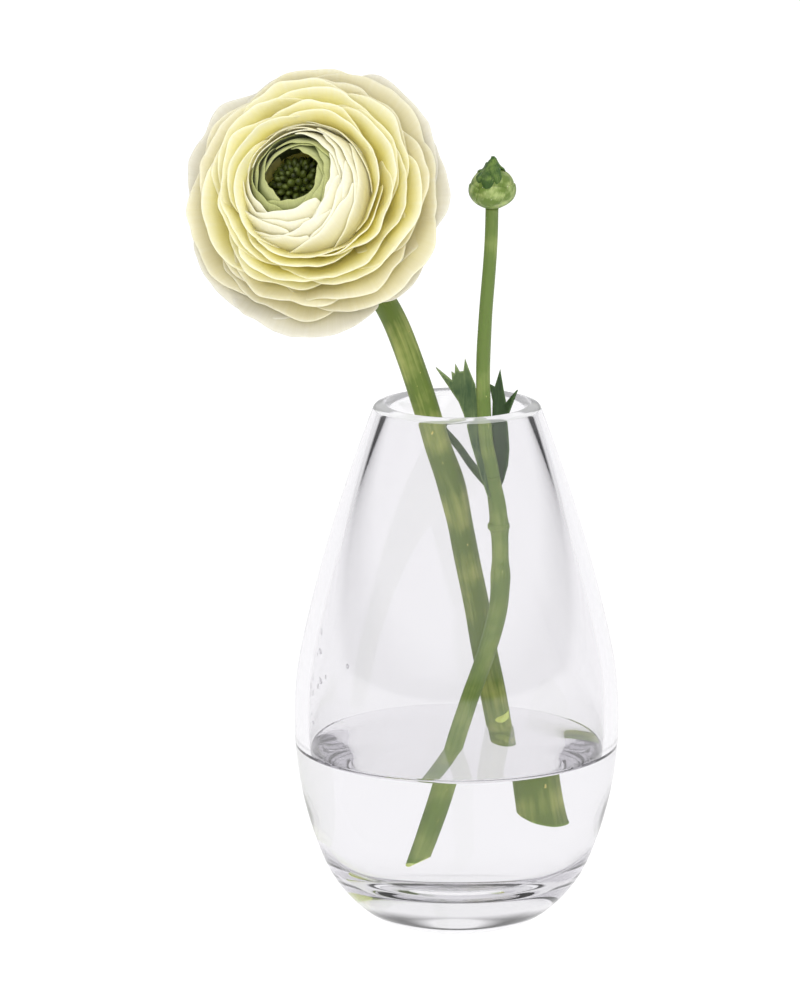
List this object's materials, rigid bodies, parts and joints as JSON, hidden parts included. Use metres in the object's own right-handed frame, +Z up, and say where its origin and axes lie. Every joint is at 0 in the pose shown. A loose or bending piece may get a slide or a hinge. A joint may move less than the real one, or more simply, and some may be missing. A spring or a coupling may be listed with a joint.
{
  "type": "glass bud vase with ranunculus",
  "caption": "Egg-shaped bud vase in thick clear glass with a narrow mouth, holding an open ranunculus flower and a side shoot with a closed bud and cut leaves.",
  "frame": {"origin": "centre of the flat face that the vase stands on", "axes": "+Z up along the vase's axis; -Y towards the side that the flower faces; -X towards the side that the flower leans to"},
  "size_m": [0.1067, 0.0804, 0.216],
  "materials": {
    "glass": "clear polished soda-lime glass",
    "petal": "soft satin petal, cream with a yellow-green throat",
    "flower_heart": "matt dark green",
    "sepal": "matt pale green",
    "stem": "satin green, finely ribbed",
    "leaf": "matt dark green",
    "bud": "satin green"
  },
  "bodies": {
    "vase": {"vase": "glass"},
    "flower": {"flower_stem": "stem", "receptacle": "stem", "carpel_head": "flower_heart", "sepals": "sepal", "petals_1": "petal", "petals_2": "petal", "petals_3": "petal", "petals_4": "petal", "petals_5": "petal", "petals_6": "petal", "petals_7": "petal", "petals_8": "petal", "petals_9": "petal", "petals_10": "petal"},
    "bud_shoot": {"bud_stem": "stem", "bud_peduncle": "stem", "bud_core": "bud", "bud_sepals": "sepal", "leaf_left": "leaf", "leaf_right": "leaf", "leaf_back_lobe": "leaf"}
  },
  "joints": [
    {"name": "flower_lift", "type": "slide", "parent": "vase", "child": "flower", "axis": [-0.1651, -0.1821, 0.9693], "range_m": [0, 0.13]},
    {"name": "bud_lift", "type": "slide", "parent": "vase", "child": "bud_shoot", "axis": [0.06, -0.008, 0.9982], "range_m": [0, 0.13]}
  ]
}
